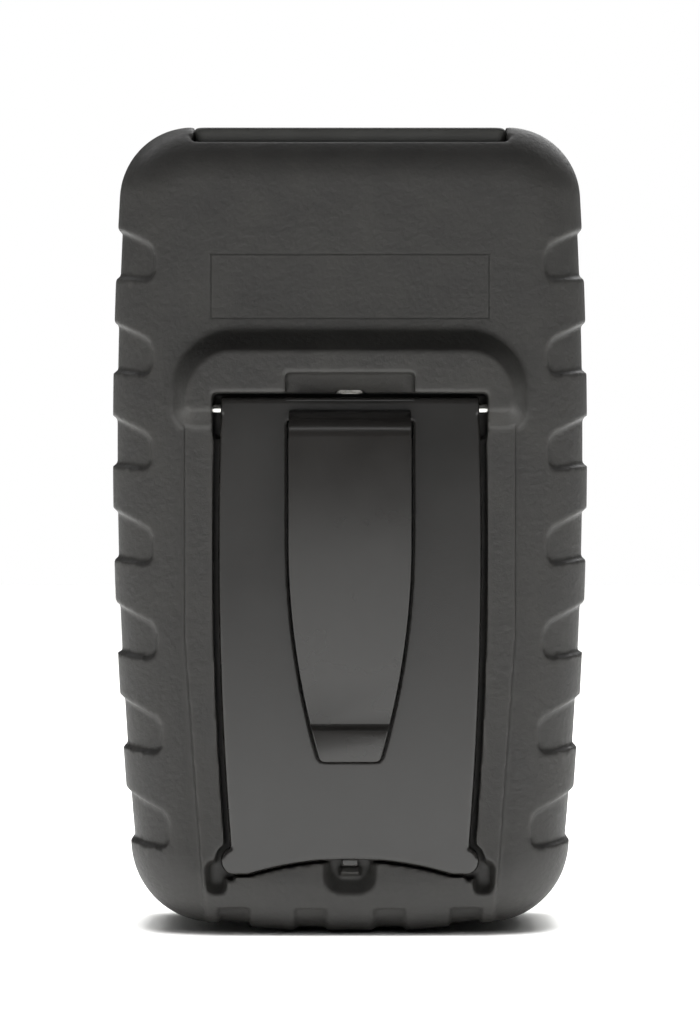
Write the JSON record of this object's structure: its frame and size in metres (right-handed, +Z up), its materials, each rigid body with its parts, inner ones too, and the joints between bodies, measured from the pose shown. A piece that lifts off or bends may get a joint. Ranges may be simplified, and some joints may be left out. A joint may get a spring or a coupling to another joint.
{
  "type": "portable gas detector",
  "caption": "Handheld portable gas detector in a ribbed rubber boot with display, keys, slotted sensor cover, rear tilt stand and belt clip.",
  "frame": {"origin": "middle of the level rib on which the base rests", "axes": "+Z up to the top end, +Y out of the back, where the stand and clip are, -Y out of the display"},
  "size_m": [0.0974, 0.0527, 0.165],
  "materials": {
    "boot_rubber": "fine moulded grain",
    "stand_plastic": "satin",
    "clip_plastic": "satin",
    "cap_plastic": "satin",
    "bezel_plastic": "fine spark texture",
    "housing_plastic": "fine spark texture",
    "cover_plastic": "matt",
    "key_rubber": "matt",
    "seal_rubber": "smooth",
    "lens_plastic": "polished",
    "display": "reflective",
    "alarm_plastic": "polished",
    "pin_steel": "polished",
    "spring_steel": "rolled",
    "screw_steel": "turned",
    "motor_steel": "drawn",
    "contact_metal": "plated",
    "weight_metal": "sintered",
    "cell_wrap": "shrink wrap over a can",
    "circuit_board": "solder mask",
    "sensor_can": "moulded",
    "filter_membrane": "membrane"
  },
  "bodies": {
    "case": {"boot": "boot_rubber", "hinge_pins": "pin_steel", "stand_detent": "spring_steel", "rear_housing": "housing_plastic", "front_housing": "bezel_plastic", "housing_gasket": "seal_rubber", "housing_screws": "screw_steel", "battery_door": "housing_plastic", "battery_door_seal": "seal_rubber", "battery_door_screws": "screw_steel", "battery_tray": "housing_plastic", "battery_cell_1": "cell_wrap", "battery_cell_2": "cell_wrap", "battery_contacts_base": "contact_metal", "battery_contacts_top": "contact_metal", "display_lens": "lens_plastic", "display_module": "display", "key_mat": "key_rubber", "main_board": "circuit_board", "main_board_screws": "screw_steel", "sounder": "contact_metal", "gas_sensor_1": "sensor_can", "sensor_filter_1": "filter_membrane", "gas_sensor_2": "sensor_can", "sensor_filter_2": "filter_membrane", "gas_sensor_3": "sensor_can", "sensor_filter_3": "filter_membrane", "gas_sensor_4": "sensor_can", "sensor_filter_4": "filter_membrane", "sensor_board": "circuit_board", "sensor_cover": "cover_plastic", "sensor_cover_screws": "screw_steel", "vibration_motor": "motor_steel", "top_cap": "cap_plastic", "top_cap_screws": "screw_steel", "alarm_lens": "alarm_plastic", "alarm_board": "circuit_board", "charge_block": "cover_plastic", "charge_pads": "contact_metal", "port_cover_pin": "pin_steel"},
    "tilt_stand": {"stand": "stand_plastic"},
    "clip": {"belt_clip": "clip_plastic"},
    "eccentric": {"motor_shaft": "pin_steel", "motor_weight": "weight_metal"},
    "flap": {"port_cover": "cap_plastic"},
    "up_button": {"up_key": "key_rubber"},
    "enter_button": {"enter_key": "key_rubber"},
    "down_button": {"down_key": "key_rubber"},
    "power_button": {"power_key": "key_rubber"}
  },
  "joints": [
    {"name": "stand_hinge", "type": "hinge", "parent": "case", "child": "tilt_stand", "pos_m": [0, 0.0186, 0.1069], "axis": [1, 0, 0], "range_deg": [0, 55]},
    {"name": "clip_flex", "type": "hinge", "parent": "tilt_stand", "child": "clip", "pos_m": [0, 0.0189, 0.1043], "axis": [1, 0, 0], "range_deg": [0, 6], "stiffness_Nm_per_rad": 0.9, "springref_deg": -1.15},
    {"name": "port_flap", "type": "hinge", "parent": "case", "child": "flap", "pos_m": [0.02885, 0.003, 0.16365], "axis": [0, 1, 0], "range_deg": [0, 100]},
    {"name": "motor_spin", "type": "hinge", "parent": "case", "child": "eccentric", "pos_m": [0.01, 0.0073, 0.113], "axis": [1, 0, 0], "continuous": true},
    {"name": "up_press", "type": "slide", "parent": "case", "child": "up_button", "axis": [0, 1, 0], "range_m": [0, 0.0008], "stiffness_N_per_m": 600, "springref_m": -0.0004},
    {"name": "enter_press", "type": "slide", "parent": "case", "child": "enter_button", "axis": [0, 1, 0], "range_m": [0, 0.0008], "stiffness_N_per_m": 600, "springref_m": -0.0004},
    {"name": "down_press", "type": "slide", "parent": "case", "child": "down_button", "axis": [0, 1, 0], "range_m": [0, 0.0008], "stiffness_N_per_m": 600, "springref_m": -0.0004},
    {"name": "power_press", "type": "slide", "parent": "case", "child": "power_button", "axis": [0, 1, 0], "range_m": [0, 0.0008], "stiffness_N_per_m": 600, "springref_m": -0.0004}
  ]
}
